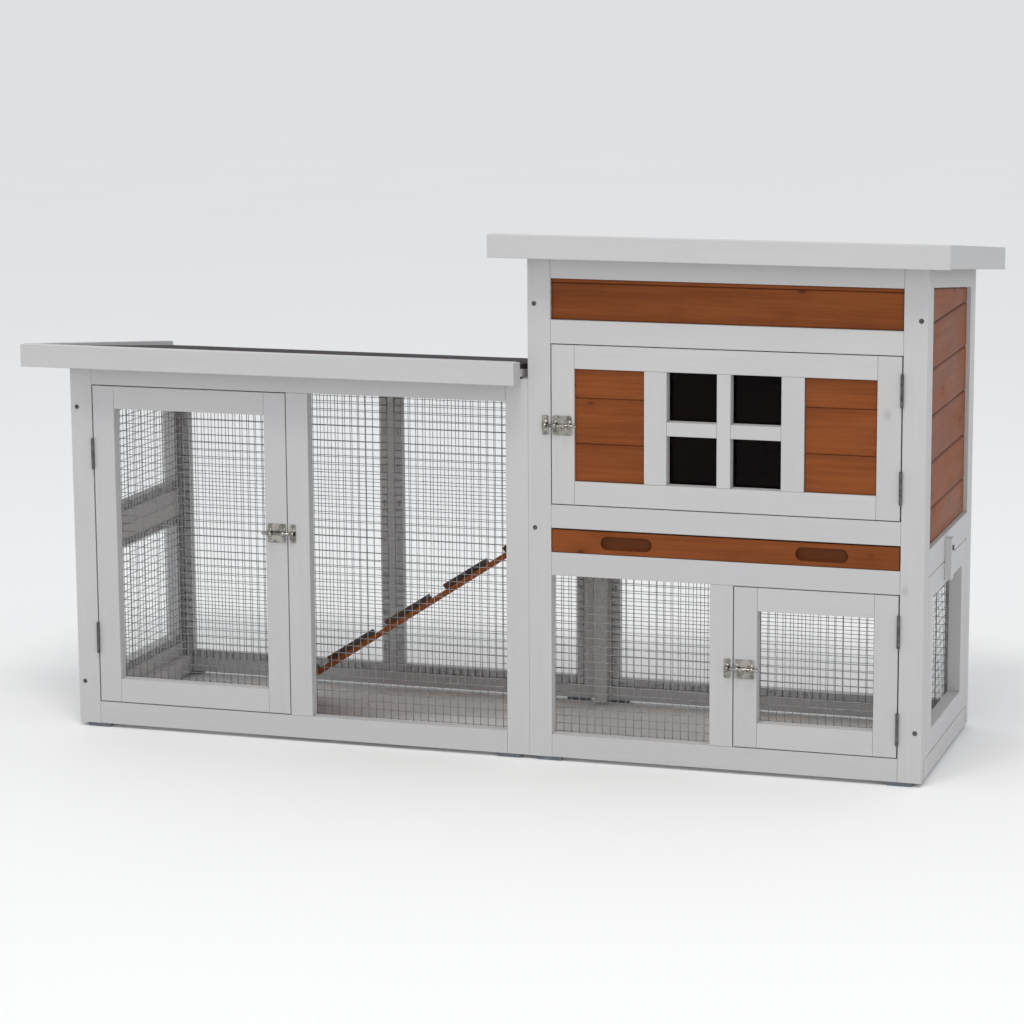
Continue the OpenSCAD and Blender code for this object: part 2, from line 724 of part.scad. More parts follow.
module upper_door_frame() color(white) place() {
    door_frame(udoor_x0, udoor_x1, udoor_z0, udoor_z1, stick_w);
    for (x = [upan_x0 + door_panel_w, win_x1])
        upright(x, x + mullion_w, 0, upan_z0 + gap, upan_z1 - gap);
    mid = (win_x0 + win_x1) / 2;
    mid_z = (upan_z0 + upan_z1) / 2;
    translate([mid - bar_w / 2, 0, upan_z0 + gap]) cube([bar_w, stick_t, upan_z1 - upan_z0 - 2 * gap]);
    for (x = [win_x0 + gap, mid + bar_w / 2 + gap])
        translate([x, 0, mid_z - bar_w / 2]) cube([(win_x1 - win_x0 - bar_w) / 2 - 2 * gap, stick_t, bar_w]);
}

module upper_door_planks() color(stain) place()
    for (x = [upan_x0, win_x1 + mullion_w])
        planks_xz(x + gap, x + door_panel_w - gap, plank_recess - 2, upan_z0 + gap, upan_z1 - gap, 58);

module window_pane() color(clear) place()
    translate([win_x0 - pane_lap, stick_t + 0.1, upan_z0 - pane_lap])
        cube([win_x1 - win_x0 + 2 * pane_lap, pane_t, upan_z1 - upan_z0 + 2 * pane_lap]);

module lower_door_frame() color(white) place()
    door_frame(ldoor_x0, ldoor_x1, ldoor_z0, ldoor_z1, door_bottom_w);

module lower_door_mesh() color(steel) place()
    mesh_xz(ldoor_x0 + stick_w - mesh_lap, ldoor_x1 - stick_w + mesh_lap,
        ldoor_z0 + door_bottom_w - mesh_lap, ldoor_z1 - stick_w + mesh_lap, stick_t, 1);

module hatch_frame() color(white) place() {
    x0 = total_len - stick_t;
    for (y = [hatch_y0, hatch_y1 - stick_w])
        translate([x0, y, hatch_z0]) cube([stick_t, stick_w, hatch_z1 - hatch_z0]);
    for (z = [hatch_z0, hatch_z1 - stick_w]) translate([x0, hatch_y0 + stick_w + gap, z])
        cube([stick_t, hatch_y1 - hatch_y0 - 2 * stick_w - 2 * gap, stick_w]);
}

module hatch_mesh() color(steel) place()
    mesh_yz(hatch_y0 + stick_w - mesh_lap, hatch_y1 - stick_w + mesh_lap,
        hatch_z0 + stick_w - mesh_lap, hatch_z1 - stick_w + mesh_lap, total_len - stick_t, -1, 0);

module turn_button() color(white) place() difference() {
    translate([total_len + button_gap, button_y - button_w / 2, button_top_z - button_len])
        cube([button_t, button_w, button_len]);
    translate([total_len - 1, button_y, button_pivot_z]) rotate([0, 90, 0])
        cylinder(r = screw_r + pin_clear, h = button_t + 3);
}

module turn_button_screw() color(steel) place() {
    translate([total_len - 16, button_y, button_pivot_z]) rotate([0, 90, 0]) {
        cylinder(r = screw_r, h = 16 + button_gap + button_t + 1);
        translate([0, 0, 16 + 2 * button_gap + button_t]) difference() {
            cylinder(r = 4, h = 2);
            translate([-0.6, -5, 1]) cube([1.2, 10, 2]);
        }
    }
}

// ---------- roofs ----------

// Turns to the slope of a roof whose underside meets the frame's inner front edge at height top_h.
module on_slope(top_h, slope) {
    translate([0, stick_t, top_h + roof_gap]) rotate([-slope, 0, 0]) children();
}

// Distance along the slope of a point at depth y.
function along(y, slope) = (y - stick_t) / cos(slope);

// Where the board and the felt start, behind the front fascia, and how long they are.
roof_y0 = fascia_t + strip_t - roof_front + 2.5;
roof_end = 3;
function roof_run(y1, slope) = along(y1, slope) - along(roof_y0, slope) - roof_end;

// A sheet on the roof from x0 to x1, t thick, standing h above the frame.
module roof_sheet(x0, x1, y1, h, t, top_h, slope) {
    on_slope(top_h, slope) translate([x0, along(roof_y0, slope), h]) cube([x1 - x0, roof_run(y1, slope), t]);
}

// Battens along the slope at the given x positions, with level battens over the front and rear frames.
module roof_battens(xs, top_h, slope) {
    h = batten_h - layer_gap;
    on_slope(top_h, slope) {
        for (x = xs) translate([x, along(roof_y0, slope), 0])
            cube([batten_w, along(depth, slope) - along(roof_y0, slope), h]);
        for (i = [0 : len(xs) - 2], y = [0, depth - batten_w])
            translate([xs[i] + batten_w + gap, along(y, slope), 0])
                cube([xs[i + 1] - xs[i] - batten_w - 2 * gap, batten_w, h]);
    }
}

// A front fascia from x0 to x1, with a strip behind it from s0 to s1.
module front_fascia(x0, x1, s0, s1, z_top) {
    translate([x0, -roof_front, z_top - fascia_h]) cube([x1 - x0, fascia_t, fascia_h]);
    translate([s0, fascia_t - roof_front + gap, z_top - fascia_h])
        cube([s1 - s0, strip_t, fascia_h - strip_drop]);
}

// A side fascia behind the front one, falling at its own slope.
module side_fascia(x0, y1, z_top, slope) {
    y0 = fascia_t - roof_front + gap;
    z1 = z_top - (y1 - y0) * tan(slope);
    translate([x0 + fascia_t, 0, 0]) rotate([90, 0, -90]) linear_extrude(fascia_t)
        mirror([1, 0]) polygon([[y0, z_top - fascia_h], [y1, z1 - fascia_h], [y1, z1], [y0, z_top]]);
}

run_sheet_x0 = run_roof_x0 + fascia_t + gap;
house_sheet_x0 = house_roof_x0 + fascia_t + gap;
house_sheet_x1 = house_roof_x1 - fascia_t - gap;
felt_z = batten_h + roof_t + layer_gap;

module run_roof_board() color(bare) place()
    roof_sheet(run_sheet_x0, run_roof_x1 - felt_t - layer_gap, run_roof_y1,
        batten_h, roof_t, run_h, run_slope);

// The felt turns down over the board's right end.
module run_roof_felt() color(felt) place() {
    roof_sheet(run_sheet_x0, run_roof_x1, run_roof_y1, felt_z, felt_t, run_h, run_slope);
    roof_sheet(run_roof_x1 - felt_t, run_roof_x1, run_roof_y1, batten_h, roof_t + felt_t, run_h, run_slope);
}

module run_roof_battens() color(white) place()
    roof_battens([0, rear_post_x, run_roof_x1 - batten_w], run_h, run_slope);

module run_roof_fascias() color(white) place() {
    front_fascia(run_roof_x0, run_roof_x1, run_sheet_x0, run_roof_x1, run_h + run_fascia_rise);
    side_fascia(run_roof_x0, run_roof_y1, run_h + run_fascia_rise, run_fascia_slope);
}

module house_roof_board() color(bare) place()
    roof_sheet(house_sheet_x0, house_sheet_x1, house_roof_y1, batten_h, roof_t, house_h, house_slope);

module house_roof_felt() color(felt) place()
    roof_sheet(house_sheet_x0, house_sheet_x1, house_roof_y1, felt_z, felt_t, house_h, house_slope);

module house_roof_battens() color(white) place()
    roof_battens([hx0, (house_x + total_len) / 2, total_len - batten_w], house_h, house_slope);

module house_roof_fascias() color(white) place() {
    front_fascia(house_roof_x0, house_roof_x1, house_sheet_x0, house_sheet_x1,
        house_h + house_fascia_rise);
    for (x = [house_roof_x0, house_roof_x1 - fascia_t])
        side_fascia(x, house_roof_y1, house_h + house_fascia_rise, house_slope);
}

// ---------- ramp ----------

ramp_foot_x = house_x - ramp_top / tan(ramp_slope);
ramp_end_gap = 0.5;
cleat_start = 48;
cleat_w = 18;
cleat_h = 9;
support_t = 18;
support_z0 = 290;

// Turns to the ramp: x runs up the slope from the foot, z stands off its underside.
module on_ramp() {
    translate([ramp_foot_x, hole_y0, 0]) rotate([0, -ramp_slope, 0]) children();
}

// The plank is cut level at the foot and upright where it meets the house.
module ramp_plank() color(stain) place() intersection() {
    on_ramp() translate([-30, 0, 0]) cube([750, ramp_w, ramp_t]);
    translate([0, 0, -foot_h]) cube([house_x - ramp_end_gap, depth, run_h]);
}

module ramp_cleats() color(stain_dark) place()
    for (i = [0 : cleats - 1]) on_ramp()
        translate([cleat_start + i * cleat_pitch, 0, ramp_t + layer_gap]) cube([cleat_w, ramp_w, cleat_h]);

// A block under the ramp's head, with its top cut to the ramp's slope.
module ramp_support() color(stain_dark) place() {
    x0 = house_x - ramp_end_gap - support_t;
    x1 = house_x - ramp_end_gap;
    translate([0, hole_y0 + ramp_w, 0]) rotate([90, 0, 0]) linear_extrude(ramp_w) polygon([
        [x0, support_z0], [x1, support_z0],
        [x1, (x1 - ramp_foot_x) * tan(ramp_slope) - gap],
        [x0, (x0 - ramp_foot_x) * tan(ramp_slope) - gap]]);
}

// ---------- doors' hardware ----------

module frame_hinge_leaves() color(steel) place() {
    at_hinges(rdoor_hinge_x, rdoor_hinge_z) hinge_leaf(-1, true);
    at_hinges(right_hinge_x, udoor_hinge_z) hinge_leaf(1, true);
    at_hinges(right_hinge_x, ldoor_hinge_z) hinge_leaf(1, true);
}

module hinge_pins() color(steel) place() {
    at_hinges(rdoor_hinge_x, rdoor_hinge_z) hinge_pin();
    at_hinges(right_hinge_x, udoor_hinge_z) hinge_pin();
    at_hinges(right_hinge_x, ldoor_hinge_z) hinge_pin();
}

module run_door_hinge_leaves() color(steel) place()
    at_hinges(rdoor_hinge_x, rdoor_hinge_z) hinge_leaf(1, false);

module upper_door_hinge_leaves() color(steel) place()
    at_hinges(right_hinge_x, udoor_hinge_z) hinge_leaf(-1, false);

module lower_door_hinge_leaves() color(steel) place()
    at_hinges(right_hinge_x, ldoor_hinge_z) hinge_leaf(-1, false);

module latch_keepers() color(chrome) place() {
    at_latch(rlatch, 1) latch_keeper();
    at_latch(ulatch, -1) latch_keeper();
    at_latch(llatch, -1) latch_keeper();
}

module run_door_latch() color(chrome) place() at_latch(rlatch, 1) latch_plate();
module run_door_bolt() color(chrome) place() at_latch(rlatch, 1) latch_bolt();
module upper_door_latch() color(chrome) place() at_latch(ulatch, -1) latch_plate();
module upper_door_bolt() color(chrome) place() at_latch(ulatch, -1) latch_bolt();
module lower_door_latch() color(chrome) place() at_latch(llatch, -1) latch_plate();
module lower_door_bolt() color(chrome) place() at_latch(llatch, -1) latch_bolt();

module frame_screws() color(steel) place() {
    for (s = front_screws) screw(s, 0, 1);
    for (s = rear_screws) screw(s, depth, -1);
}

module feet() color(plastic) place()
    for (x = foot_x, y = [stick_t / 2, depth - stick_t / 2])
        translate([x, y + foot_w / 2, 0]) rotate([90, 0, 0]) linear_extrude(foot_w) polygon([
            [-foot_len / 2, 0], [-foot_len / 2, -foot_h + 2], [-foot_len / 2 + 3, -foot_h],
            [foot_len / 2 - 3, -foot_h], [foot_len / 2, -foot_h + 2], [foot_len / 2, 0]]);

run_front_frame();
run_rear_frame();
run_left_frame();
side_base_battens();
house_front_frame();
house_rear_frame();
house_left_frame();
house_right_frame();
front_board();
rear_planks();
left_planks();
right_planks();
upper_floor();
floor_bearers();
tray_front();
tray_base();
tray_rim();
run_roof_board();
run_roof_felt();
run_roof_battens();
run_roof_fascias();
house_roof_board();
house_roof_felt();
house_roof_battens();
house_roof_fascias();
ramp_plank();
ramp_cleats();
ramp_support();
run_door_frame();
run_door_mesh();
upper_door_frame();
upper_door_planks();
window_pane();
lower_door_frame();
lower_door_mesh();
run_front_mesh();
run_rear_mesh();
run_left_mesh();
house_front_mesh();
house_rear_mesh();
hatch_frame();
hatch_mesh();
turn_button();
turn_button_screw();
frame_hinge_leaves();
hinge_pins();
run_door_hinge_leaves();
upper_door_hinge_leaves();
lower_door_hinge_leaves();
latch_keepers();
run_door_latch();
run_door_bolt();
upper_door_latch();
upper_door_bolt();
lower_door_latch();
lower_door_bolt();
frame_screws();
feet();
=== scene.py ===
"""Looks of the rabbit hutch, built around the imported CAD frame. Metres, in the part's own frame."""
import json
import math
import random

import bmesh
import bpy
from mathutils import Matrix, Vector, noise

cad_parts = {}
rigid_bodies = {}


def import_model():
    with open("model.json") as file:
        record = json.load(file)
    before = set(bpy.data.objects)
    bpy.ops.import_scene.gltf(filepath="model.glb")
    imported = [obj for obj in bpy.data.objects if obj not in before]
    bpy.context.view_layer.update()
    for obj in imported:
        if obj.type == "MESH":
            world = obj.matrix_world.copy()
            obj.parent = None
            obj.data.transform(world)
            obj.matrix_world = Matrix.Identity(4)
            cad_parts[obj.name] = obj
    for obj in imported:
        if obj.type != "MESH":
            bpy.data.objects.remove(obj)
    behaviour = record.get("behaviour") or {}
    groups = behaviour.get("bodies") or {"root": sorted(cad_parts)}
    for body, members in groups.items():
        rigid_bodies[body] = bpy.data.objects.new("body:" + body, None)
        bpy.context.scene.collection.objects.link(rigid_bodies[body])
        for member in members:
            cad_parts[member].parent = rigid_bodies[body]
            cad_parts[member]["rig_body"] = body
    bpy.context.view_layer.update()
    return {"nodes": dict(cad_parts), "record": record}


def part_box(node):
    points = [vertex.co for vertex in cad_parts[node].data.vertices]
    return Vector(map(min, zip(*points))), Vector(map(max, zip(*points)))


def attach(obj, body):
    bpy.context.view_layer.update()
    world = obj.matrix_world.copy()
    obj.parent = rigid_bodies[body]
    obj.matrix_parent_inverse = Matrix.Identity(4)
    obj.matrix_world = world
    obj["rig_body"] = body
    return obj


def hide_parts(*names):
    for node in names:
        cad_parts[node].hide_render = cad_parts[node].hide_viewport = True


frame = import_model()
scene = bpy.context.scene
scene.view_settings.view_transform = "Standard"
scene.view_settings.look = "None"

MM = 0.001
SHARP_ANGLE = math.radians(28)
SLOT_OF = {s["node"]: s["material_slot"] for s in frame["record"]["subparts"]}


# ---------- node helpers ----------

class Nodes:
    """Builds a material's node tree with short calls."""

    def __init__(self, name):
        self.material = bpy.data.materials.new(name)
        self.material.use_nodes = True
        self.tree = self.material.node_tree
        self.shader = self.tree.nodes["Principled BSDF"]

    def add(self, kind, **values):
        node = self.tree.nodes.new(kind)
        for key, value in values.items():
            setattr(node, key, value)
        return node

    def link(self, source, target):
        self.tree.links.new(source, target)

    def feed(self, socket, value):
        """Links a socket or sets a constant."""
        if isinstance(value, bpy.types.NodeSocket):
            self.link(value, socket)
        else:
            socket.default_value = value

    def attribute(self, name, output="Fac"):
        node = self.add("ShaderNodeAttribute", attribute_type="GEOMETRY", attribute_name=name)
        return node.outputs[output]

    def math(self, operation, a, b, clamp=False):
        node = self.add("ShaderNodeMath", operation=operation, use_clamp=clamp)
        self.feed(node.inputs[0], a)
        self.feed(node.inputs[1], b)
        return node.outputs[0]

    def scaled(self, vector, scale):
        node = self.add("ShaderNodeVectorMath", operation="MULTIPLY")
        self.feed(node.inputs[0], vector)
        node.inputs[1].default_value = scale
        return node.outputs[0]

    def added(self, a, b):
        node = self.add("ShaderNodeVectorMath", operation="ADD")
        self.feed(node.inputs[0], a)
        self.feed(node.inputs[1], b)
        return node.outputs[0]

    def noise(self, vector, scale, detail=3.0, roughness=0.55, output="Fac"):
        node = self.add("ShaderNodeTexNoise")
        self.feed(node.inputs["Vector"], vector)
        node.inputs["Scale"].default_value = scale
        node.inputs["Detail"].default_value = detail
        node.inputs["Roughness"].default_value = roughness
        return node.outputs[output]

    def voronoi(self, vector, scale, output="Distance"):
        node = self.add("ShaderNodeTexVoronoi")
        self.feed(node.inputs["Vector"], vector)
        node.inputs["Scale"].default_value = scale
        return node.outputs[output]

    def ramp(self, value, low, high, out_low=0.0, out_high=1.0):
        node = self.add("ShaderNodeMapRange", interpolation_type="SMOOTHSTEP")
        self.feed(node.inputs["Value"], value)
        limits = {"From Min": low, "From Max": high, "To Min": out_low, "To Max": out_high}
        for socket, number in limits.items():
            node.inputs[socket].default_value = number
        return node.outputs["Result"]

    def mix(self, factor, a, b):
        node = self.add("ShaderNodeMix", data_type="RGBA")
        self.feed(node.inputs["Factor"], factor)
        for socket, value in ((node.inputs[6], a), (node.inputs[7], b)):
            if isinstance(value, tuple):
                value = (*value, 1.0)
            self.feed(socket, value)
        return node.outputs[2]

    def bump(self, height, strength, distance, below=None):
        node = self.add("ShaderNodeBump")
        self.feed(node.inputs["Height"], height)
        node.inputs["Strength"].default_value = strength
        node.inputs["Distance"].default_value = distance
        if below is not None:
            self.link(below, node.inputs["Normal"])
        return node.outputs["Normal"]

    def finish(self, colour, roughness, normal=None, **constants):
        self.feed(self.shader.inputs["Base Color"], colour)
        self.feed(self.shader.inputs["Roughness"], roughness)
        if normal is not None:
            self.link(normal, self.shader.inputs["Normal"])
        for name, value in constants.items():
            self.shader.inputs[name.replace("_", " ")].default_value = value
        return self.material


# ---------- wood ----------

def timber(n, knot_scale=8.0, knot_size=1.0, ring_scale=60.0):
    """A stick's growth rings, fibres and knots, from its own grain coordinates, whose x runs along it."""
    grain = n.attribute("grain", "Vector")
    sway = n.noise(n.scaled(grain, (2.2, 7.0, 7.0)), 1.0, 2.0, 0.5, "Color")
    bent = n.added(n.scaled(grain, (0.10, 1.0, 1.0)), n.scaled(sway, (0.0, 0.030, 0.030)))
    knot_at = n.scaled(grain, (0.62, 1.0, 1.0))
    distance = n.voronoi(knot_at, knot_scale)
    knot = n.ramp(distance, 0.020 * knot_size, 0.075 * knot_size, 1.0, 0.0)
    halo = n.ramp(distance, 0.03 * knot_size, 0.26 * knot_size, 1.0, 0.0)
    pushed = n.added(bent, n.scaled(halo, (0.0, 0.010, 0.010)))
    rings = n.add("ShaderNodeTexWave", wave_type="RINGS", rings_direction="X", wave_profile="SAW")
    n.link(pushed, rings.inputs["Vector"])
    rings.inputs["Scale"].default_value = ring_scale
    rings.inputs["Distortion"].default_value = 1.2
    rings.inputs["Detail"].default_value = 2.0
    rings.inputs["Detail Scale"].default_value = 1.5
    late = n.ramp(rings.outputs["Fac"], 0.45, 0.98)
    streak = n.noise(n.scaled(grain, (5.0, 150.0, 150.0)), 1.0, 4.0, 0.6)
    fibre = n.noise(n.scaled(grain, (26.0, 900.0, 900.0)), 1.0, 3.0, 0.65)
    cloud = n.noise(n.scaled(grain, (5.0, 16.0, 16.0)), 1.0, 3.0, 0.5)
    return {"late": late, "streak": streak, "fibre": fibre, "cloud": cloud, "knot": knot, "halo": halo}


def painted_wood(name, white, wood, see_through, dirt):
    """Thin white paint over wood, with the grain showing through and worn edges."""
    n = Nodes(name)
    t = timber(n)
    tone = n.attribute("tone")
    edge = n.attribute("edge")
    base = n.mix(t["late"], wood, tuple(c * 0.62 for c in wood))
    base = n.mix(t["knot"], base, (0.13, 0.065, 0.03))
    thin = n.math("MULTIPLY", n.ramp(t["streak"], 0.42, 0.74), see_through)
    thin = n.math("ADD", thin, n.math("MULTIPLY", t["late"], see_through * 0.25))
    thin = n.math("ADD", thin, n.math("MULTIPLY", n.ramp(t["fibre"], 0.55, 0.78), see_through * 0.5))
    thin = n.math("ADD", thin, n.math("MULTIPLY", t["knot"], 0.22))
    thin = n.math("ADD", thin, n.math("MULTIPLY", t["halo"], 0.03))
    worn = n.math("MULTIPLY", edge, n.ramp(t["cloud"], 0.46, 0.72, 0.05, 0.30))
    thin = n.math("ADD", thin, worn, clamp=True)
    shade = n.mix(n.ramp(t["cloud"], 0.3, 0.75), tuple(c * 0.955 for c in white), white)
    shade = n.mix(tone, shade, tuple(c * k for c, k in zip(white, (0.93, 0.935, 0.95))))
    colour = n.mix(thin, shade, base)
    grey = n.ramp(n.noise(n.attribute("grain", "Vector"), 34.0, 5.0, 0.65), 0.55, 0.80, 0.0, dirt)
    colour = n.mix(grey, colour, (0.36, 0.36, 0.37))
    height = n.math("ADD", n.math("MULTIPLY", t["fibre"], 0.5), n.math("MULTIPLY", t["streak"], 0.8))
    height = n.math("SUBTRACT", height, n.math("MULTIPLY", t["late"], 0.25))
    normal = n.bump(height, 0.22, 0.0003)
    rough = n.ramp(t["fibre"], 0.3, 0.8, 0.52, 0.70)
    return n.finish(colour, rough, normal, Specular_IOR_Level=0.3)


def stained_wood(name, light, dark, knot_colour, gloss=0.42):
    """Stained wood with streaks and clouds of stain. gloss is the lowest roughness."""
    n = Nodes(name)
    t = timber(n, knot_scale=22.0, knot_size=1.8, ring_scale=46.0)
    tone = n.attribute("tone")
    edge = n.attribute("edge")
    colour = n.mix(n.ramp(t["streak"], 0.26, 0.76), light, dark)
    colour = n.mix(n.math("MULTIPLY", t["late"], 0.20), colour, tuple(c * 0.62 for c in dark))
    colour = n.mix(n.ramp(t["cloud"], 0.35, 0.75, 0.0, 0.55), colour, tuple(c * 1.28 for c in light))
    colour = n.mix(n.ramp(t["fibre"], 0.52, 0.80, 0.0, 0.30), colour, tuple(c * 0.55 for c in dark))
    colour = n.mix(n.math("MULTIPLY", t["halo"], 0.45), colour, dark)
    colour = n.mix(n.math("MULTIPLY", t["knot"], 0.85), colour, knot_colour)
    colour = n.mix(n.math("MULTIPLY", tone, 0.30), colour, tuple(c * 0.80 for c in dark))
    # Darker on the rounded edges; recess faces, marked far more strongly, come out much darker as painted
    # shade inside the cut.
    colour = n.mix(n.math("MULTIPLY", edge, 0.30, True), colour, tuple(c * 0.55 for c in dark))
    height = n.math("ADD", n.math("MULTIPLY", t["fibre"], 0.6), n.math("MULTIPLY", t["streak"], 0.9))
    height = n.math("SUBTRACT", height, n.math("MULTIPLY", t["late"], 0.4))
    normal = n.bump(height, 0.26, 0.0004)
    rough = n.ramp(t["cloud"], 0.3, 0.8, gloss, gloss + 0.16)
    return n.finish(colour, rough, normal, Specular_IOR_Level=0.12)


# ---------- other materials ----------

def roofing_felt():
    """Dark felt with mineral grit."""
    n = Nodes("roofing_felt")
    where = n.add("ShaderNodeTexCoord").outputs["Object"]
    grit = n.voronoi(where, 620.0)
    speck = n.voronoi(where, 620.0, "Color")
    patch = n.noise(where, 5.0, 4.0, 0.6)
    shade = n.add("ShaderNodeSeparateColor")
    n.link(speck, shade.inputs[0])
    colour = n.mix(n.ramp(shade.outputs[0], 0.2, 1.0), (0.014, 0.010, 0.012), (0.056, 0.040, 0.047))
    colour = n.mix(n.ramp(patch, 0.35, 0.7, 0.0, 0.45), colour, (0.066, 0.047, 0.054))
    height = n.math("SUBTRACT", 1.0, grit)
    normal = n.bump(height, 0.7, 0.0006, n.bump(n.noise(where, 22.0, 3.0), 0.4, 0.002))
    return n.finish(colour, n.ramp(shade.outputs[1], 0.0, 1.0, 0.72, 0.97), normal, Specular_IOR_Level=0.25)


def metal(name, colour, dark, rough_low, rough_high, scale, spots):
    """Metal with dark spots, of a strength from 0 to 1: dull spots on the zinc, and painted dark reflection
    on the chrome.
    """
    n = Nodes(name)
    where = n.add("ShaderNodeTexCoord").outputs["Object"]
    cloud = n.noise(where, scale, 5.0, 0.65)
    fine = n.noise(where, scale * 14.0, 3.0, 0.6)
    shade = n.mix(n.ramp(cloud, 0.38, 0.68, 0.0, spots), colour, dark)
    shade = n.mix(n.ramp(fine, 0.55, 0.8, 0.0, spots * 0.6), shade, tuple(c * 0.75 for c in colour))
    normal = n.bump(fine, 0.25, 0.00015)
    return n.finish(shade, n.ramp(cloud, 0.3, 0.75, rough_low, rough_high), normal, Metallic=1.0)


def moulded_plastic():
    """Grey-blue plastic with scuffs."""
    n = Nodes("foot_plastic")
    where = n.add("ShaderNodeTexCoord").outputs["Object"]
    fine = n.noise(where, 900.0, 3.0, 0.6)
    scuff = n.noise(where, 60.0, 5.0, 0.7)
    colour = n.mix(n.ramp(scuff, 0.45, 0.72, 0.0, 0.6), (0.105, 0.120, 0.140), (0.21, 0.23, 0.25))
    return n.finish(colour, n.ramp(scuff, 0.3, 0.8, 0.45, 0.68), n.bump(fine, 0.35, 0.0002))


def acrylic():
    """Window sheet, tinted dark brown as painted shade: the dark inside of the box behind it. Its tint and
    low IOR are set for the look, and aren't real acrylic's.
    """
    n = Nodes("clear_acrylic")
    where = n.add("ShaderNodeTexCoord").outputs["Object"]
    smear = n.noise(where, 22.0, 4.0, 0.6)
    # The dark brown is painted shade of the dark room behind the window.
    colour = n.mix(n.ramp(smear, 0.45, 0.75), (0.13, 0.085, 0.060), (0.11, 0.072, 0.052))
    return n.finish(colour, n.ramp(smear, 0.4, 0.8, 0.03, 0.10), n.bump(smear, 0.05, 0.0008),
                    Transmission_Weight=1.0, IOR=1.15, Specular_IOR_Level=0.06)


MATERIALS = {
    "white_paint": painted_wood("white_paint", (0.550, 0.545, 0.545), (0.43, 0.33, 0.23), 0.05, 0.10),
    "brown_stain": stained_wood(
        "brown_stain", (0.250, 0.071, 0.018), (0.165, 0.042, 0.010), (0.034, 0.010, 0.004)),
    "dark_stain": stained_wood(
        "dark_stain", (0.090, 0.042, 0.021), (0.060, 0.028, 0.014), (0.022, 0.010, 0.006)),
    "bare_wood": stained_wood(
        "bare_wood", (0.52, 0.36, 0.20), (0.42, 0.27, 0.14), (0.16, 0.07, 0.03), 0.62),
    "roofing_felt": roofing_felt(),
    "galvanised_wire": metal(
        "galvanised_wire", (0.34, 0.35, 0.36), (0.20, 0.205, 0.21), 0.38, 0.58, 90.0, 0.7),
    "zinc_steel": metal(
        "zinc_steel", (0.150, 0.150, 0.155), (0.060, 0.060, 0.064), 0.35, 0.55, 120.0, 0.8),
    # The chrome's low grey colour and its strong dark spots are painted reflection of a dark surrounding.
    "chrome_plate": metal(
        "chrome_plate", (0.40, 0.38, 0.35), (0.10, 0.095, 0.085), 0.14, 0.30, 90.0, 0.85),
    "foot_plastic": moulded_plastic(),
    "clear_acrylic": acrylic(),
}


# ---------- geometry from the CAD solids ----------

def new_piece(bm, name, slot, body, stands_for):
    """Turns a bmesh into a piece with its material, body and CAD nodes."""
    mesh = bpy.data.meshes.new(name)
    bm.to_mesh(mesh)
    bm.free()
    mesh.materials.append(MATERIALS[slot])
    piece = bpy.data.objects.new(name, mesh)
    scene.collection.objects.link(piece)
    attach(piece, body)
    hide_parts(*stands_for)


def solids(node):
    """Each separate solid of a CAD node, as (points, faces) with flat faces merged."""
    bm = bmesh.new()
    bm.from_mesh(frame["nodes"][node].data)
    bmesh.ops.remove_doubles(bm, verts=bm.verts, dist=3e-6)
    bmesh.ops.dissolve_limit(bm, angle_limit=math.radians(0.6), verts=bm.verts, edges=bm.edges)
    bm.verts.index_update()
    bm.faces.index_update()
    left, found = set(bm.verts), []
    for start in bm.verts:
        if start not in left:
            continue
        stack, island = [start], []
        left.discard(start)
        while stack:
            v = stack.pop()
            island.append(v)
            for e in v.link_edges:
                other = e.other_vert(v)
                if other in left:
                    left.discard(other)
                    stack.append(other)
        island.sort(key=lambda v: v.index)
        number = {v: i for i, v in enumerate(island)}
        faces = sorted({f for v in island for f in v.link_faces}, key=lambda f: f.index)
        found.append(([v.co.copy() for v in island], [[number[v] for v in f.verts] for f in faces]))
    bm.free()
    return found


def span(points):
    """The low and high corner of the points' box."""
    low = Vector([min(p[i] for p in points) for i in range(3)])
    high = Vector([max(p[i] for p in points) for i in range(3)])
    return low, high


def add_stick(target, points, faces, bevel, seed, segments=2):
    """Adds a stick with rounded edges, grain coordinates along its longest edge, and its own tone."""
    pick = random.Random(seed)
    bm = bmesh.new()
    verts = [bm.verts.new(p) for p in points]
    for f in faces:
        try:
            bm.faces.new([verts[i] for i in f])
        except ValueError:
            pass
    bm.normal_update()
    longest = max(bm.edges, key=lambda e: e.calc_length())
    along = (longest.verts[1].co - longest.verts[0].co).normalized()
    side = min((Vector(a) for a in ((1, 0, 0), (0, 1, 0), (0, 0, 1))), key=lambda a: abs(a.dot(along)))
    side = (side - along * side.dot(along)).normalized()
    across = along.cross(side)
    sharp = [e for e in bm.edges if len(e.link_faces) == 2 and e.calc_face_angle() > SHARP_ANGLE]
    rounded = bmesh.ops.bevel(bm, geom=sharp, offset=bevel, segments=segments, profile=0.6,
                              affect="EDGES", clamp_overlap=True)
    edge_faces = set(rounded["faces"])
    low, high = span([v.co for v in bm.verts])
    middle = (low + high) / 2
    shift = Vector((pick.uniform(0, 40), pick.uniform(-0.16, 0.16), pick.uniform(-0.16, 0.16)))
    tone = [pick.random() for _ in range(3)][-1]  # the third draw, so that each stick keeps its tone
    grain_layer = target.verts.layers.float_vector["grain"]
    tone_layer = target.verts.layers.float["tone"]
    edge_layer = target.faces.layers.float["edge"]
    copies = {}
    for v in bm.verts:
        copy = target.verts.new(v.co)
        d = v.co - middle
        copy[grain_layer] = Vector((d.dot(along), d.dot(side), d.dot(across))) + shift
        copy[tone_layer] = tone
        copies[v] = copy
    for f in bm.faces:
        copy = target.faces.new([copies[v] for v in f.verts])
        copy[edge_layer] = 1.0 if f in edge_faces else 0.0
    bm.free()


